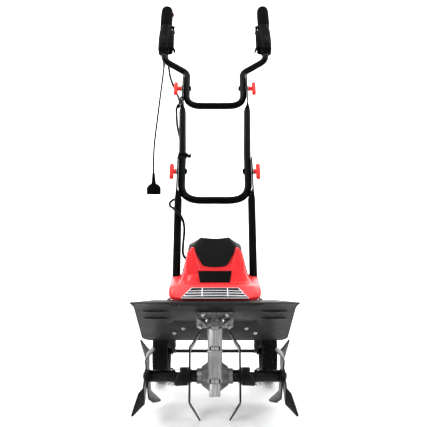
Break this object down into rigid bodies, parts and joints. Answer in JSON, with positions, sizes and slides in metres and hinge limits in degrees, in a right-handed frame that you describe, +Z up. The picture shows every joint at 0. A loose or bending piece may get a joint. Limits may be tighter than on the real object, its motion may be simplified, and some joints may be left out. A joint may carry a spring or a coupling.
{
  "type": "electric garden tiller",
  "caption": "Corded electric garden tiller with worm-driven tine wheels under a soil guard, tilting transport wheels and a folding tube handle.",
  "frame": {"origin": "on the ground under the middle of the tiller, its cord left out of the measure", "axes": "+Z up, the tines and the guard's front face -Y, the handle rises toward +Y, +X is the right side of the front view; the tine axle lies along X"},
  "size_m": [0.4479, 0.9769, 1.1632],
  "materials": {
    "red_shell": "glossy moulded plastic",
    "red_knob": "glossy moulded plastic",
    "black_plastic": "satin moulded plastic",
    "black_tube": "black powder coat",
    "black_steel": "black powder coat",
    "grip_rubber": "soft foam rubber",
    "cable_rubber": "rubber sheath",
    "tyre_rubber": "moulded rubber",
    "steel": "zinc plated",
    "bracket_steel": "grey painted plate",
    "cast_aluminium": "as cast",
    "bronze": "machined",
    "chrome_trim": "bright plated"
  },
  "bodies": {
    "chassis": {"gearbox_left_half": "cast_aluminium", "gearbox_right_half": "cast_aluminium", "lower_worm_bush": "bronze", "upper_worm_bearing": "steel", "motor_flange": "cast_aluminium", "motor_stator": "steel", "top_bearing_bridge": "cast_aluminium", "motor_housing": "red_shell", "top_cap": "black_plastic", "front_grille": "chrome_trim", "name_plate": "black_plastic", "tine_guard": "black_steel", "guard_bracket": "bracket_steel", "rear_frame": "black_steel", "lower_tube_left": "black_tube", "lower_tube_right": "black_tube", "motor_cable_lower": "cable_rubber", "motor_cable_lower_bend": "cable_rubber"},
    "tines": {"tine_shaft": "black_steel", "worm_wheel": "bronze", "inner_tine_in_left": "black_steel", "inner_tine_out_left": "black_steel", "outer_tine_in_left": "black_steel", "outer_tine_out_left": "black_steel", "inner_tine_in_right": "black_steel", "inner_tine_out_right": "black_steel", "outer_tine_in_right": "black_steel", "outer_tine_out_right": "black_steel", "hitch_pin_left": "steel", "hitch_pin_right": "steel"},
    "rotor": {"worm_shaft": "steel", "rotor_core": "steel", "cooling_fan": "black_plastic"},
    "transport_bracket": {"wheel_bracket": "black_steel", "wheel_axle": "steel"},
    "transport_wheel_left": {"tyre_left": "tyre_rubber", "wheel_rim_left": "black_plastic"},
    "transport_wheel_right": {"tyre_right": "tyre_rubber", "wheel_rim_right": "black_plastic"},
    "middle_handle": {"middle_u_tube": "black_tube", "cable_clip_middle": "black_plastic", "cable_clip_upper": "black_plastic", "motor_cable_middle": "cable_rubber", "motor_cable_upper_bend": "cable_rubber"},
    "upper_handle": {"upper_u_tube": "black_tube", "grip_left": "grip_rubber", "grip_right": "grip_rubber", "switch_box_left": "black_plastic", "switch_box_right": "black_plastic", "lead_strain_relief": "cable_rubber", "mains_lead": "cable_rubber", "plug": "black_plastic", "motor_cable_upper": "cable_rubber"},
    "left_lever": {"lever_left": "black_plastic"},
    "right_lever": {"lever_right": "black_plastic"},
    "button": {"safety_button": "red_knob"},
    "lower_left_knob": {"lower_knob_left": "red_knob"},
    "lower_right_knob": {"lower_knob_right": "red_knob"},
    "upper_left_knob": {"upper_knob_left": "red_knob"},
    "upper_right_knob": {"upper_knob_right": "red_knob"}
  },
  "joints": [
    {"name": "tine_spin", "type": "hinge", "parent": "chassis", "child": "tines", "pos_m": [0, -0.3839, 0.10795], "axis": [1, 0, 0], "continuous": true},
    {"name": "rotor_spin", "type": "hinge", "parent": "chassis", "child": "rotor", "pos_m": [0, -0.4129, 0.10795], "axis": [0, 0.4226, 0.9063], "continuous": true},
    {"name": "bracket_tilt", "type": "hinge", "parent": "chassis", "child": "transport_bracket", "pos_m": [0, -0.2539, 0.25795], "axis": [1, 0, 0], "range_deg": [0, 45]},
    {"name": "wheel_left_spin", "type": "hinge", "parent": "transport_bracket", "child": "transport_wheel_left", "pos_m": [-0.152, -0.1549, 0.08395], "axis": [1, 0, 0], "continuous": true},
    {"name": "wheel_right_spin", "type": "hinge", "parent": "transport_bracket", "child": "transport_wheel_right", "pos_m": [0.152, -0.1549, 0.08395], "axis": [1, 0, 0], "continuous": true},
    {"name": "lower_fold", "type": "hinge", "parent": "chassis", "child": "middle_handle", "pos_m": [0, -0.0257, 0.59305], "axis": [1, 0, 0], "range_deg": [0, 150], "deforming": ["motor_cable_lower_bend"]},
    {"name": "upper_fold", "type": "hinge", "parent": "middle_handle", "child": "upper_handle", "pos_m": [0, 0.20561, 0.84996], "axis": [1, 0, 0], "range_deg": [0, 150], "deforming": ["motor_cable_upper_bend"]},
    {"name": "lever_left_squeeze", "type": "hinge", "parent": "upper_handle", "child": "left_lever", "pos_m": [-0.148, 0.4012, 1.06718], "axis": [0, 0.7431, -0.6691], "range_deg": [0, 5], "stiffness_Nm_per_rad": 1},
    {"name": "lever_right_squeeze", "type": "hinge", "parent": "upper_handle", "child": "right_lever", "pos_m": [0.148, 0.4012, 1.06718], "axis": [0, -0.7431, 0.6691], "range_deg": [0, 5], "stiffness_Nm_per_rad": 1},
    {"name": "button_press", "type": "slide", "parent": "upper_handle", "child": "button", "axis": [-1, 0, 0], "range_m": [0, 0.003], "stiffness_N_per_m": 200},
    {"name": "lower_left_knob_turn", "type": "hinge", "parent": "middle_handle", "child": "lower_left_knob", "pos_m": [-0.129, -0.0257, 0.59305], "axis": [-1, 0, 0], "continuous": true},
    {"name": "lower_right_knob_turn", "type": "hinge", "parent": "middle_handle", "child": "lower_right_knob", "pos_m": [0.129, -0.0257, 0.59305], "axis": [1, 0, 0], "continuous": true},
    {"name": "upper_left_knob_turn", "type": "hinge", "parent": "upper_handle", "child": "upper_left_knob", "pos_m": [-0.129, 0.20561, 0.84996], "axis": [-1, 0, 0], "continuous": true},
    {"name": "upper_right_knob_turn", "type": "hinge", "parent": "upper_handle", "child": "upper_right_knob", "pos_m": [0.129, 0.20561, 0.84996], "axis": [1, 0, 0], "continuous": true}
  ],
  "couplings": [
    {"joint": "rotor_spin", "follows": "tine_spin", "ratio": 30}
  ]
}
